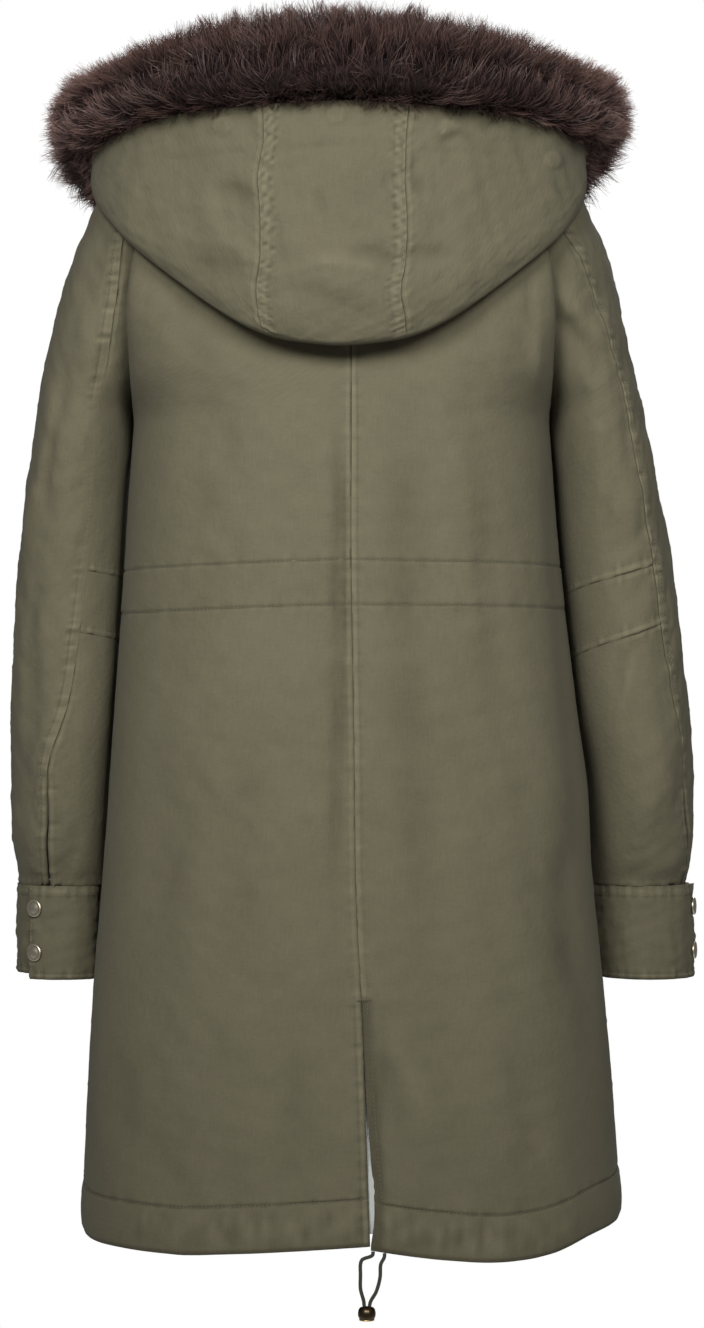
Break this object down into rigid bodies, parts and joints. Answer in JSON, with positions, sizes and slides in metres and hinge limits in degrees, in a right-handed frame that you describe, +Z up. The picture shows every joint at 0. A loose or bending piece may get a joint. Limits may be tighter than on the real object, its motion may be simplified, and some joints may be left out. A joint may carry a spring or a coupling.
{
  "type": "fur trimmed parka",
  "caption": "Knee-length hooded parka in plain woven cotton with raglan sleeves, snap cuffs, a pile trimmed hood lying open on the back, a back vent and a hem drawcord, hollow as worn.",
  "frame": {"origin": "the middle of the neck opening, level with the nape of the neckline, where the wearer's neck and shoulders hold the coat", "axes": "+Z up along the wearer's body, +Y the way the wearer faces, +X to the wearer's right; the back is seen from -Y"},
  "size_m": [0.5611, 0.3974, 0.9916],
  "materials": {
    "olive_cotton": "matt cotton canvas, washed olive",
    "brown_fur": "long dark brown pile with reddish tips",
    "pale_gold": "satin pale gold snap caps",
    "bronze": "dark bronze cord end",
    "cord_green": "braided elastic cord, dark green"
  },
  "bodies": {
    "root": {"back_left": "olive_cotton", "back_right": "olive_cotton", "front_left": "olive_cotton", "front_right": "olive_cotton", "placket": "olive_cotton", "sleeve_top_left": "olive_cotton", "sleeve_top_right": "olive_cotton", "sleeve_upper_left": "olive_cotton", "sleeve_upper_right": "olive_cotton", "sleeve_elbow_left": "olive_cotton", "sleeve_elbow_right": "olive_cotton", "sleeve_lower_left": "olive_cotton", "sleeve_lower_right": "olive_cotton", "cuff_left": "olive_cotton", "cuff_right": "olive_cotton", "hood_left": "olive_cotton", "hood_centre": "olive_cotton", "hood_right": "olive_cotton", "fur_trim": "brown_fur", "front_snap_1": "pale_gold", "front_snap_2": "pale_gold", "front_snap_3": "pale_gold", "front_snap_4": "pale_gold", "cuff_snap_left_1": "pale_gold", "cuff_snap_left_2": "pale_gold", "cuff_snap_right_1": "pale_gold", "cuff_snap_right_2": "pale_gold", "cord_end": "bronze", "cord_left": "cord_green", "cord_right": "cord_green"}
  },
  "joints": []
}
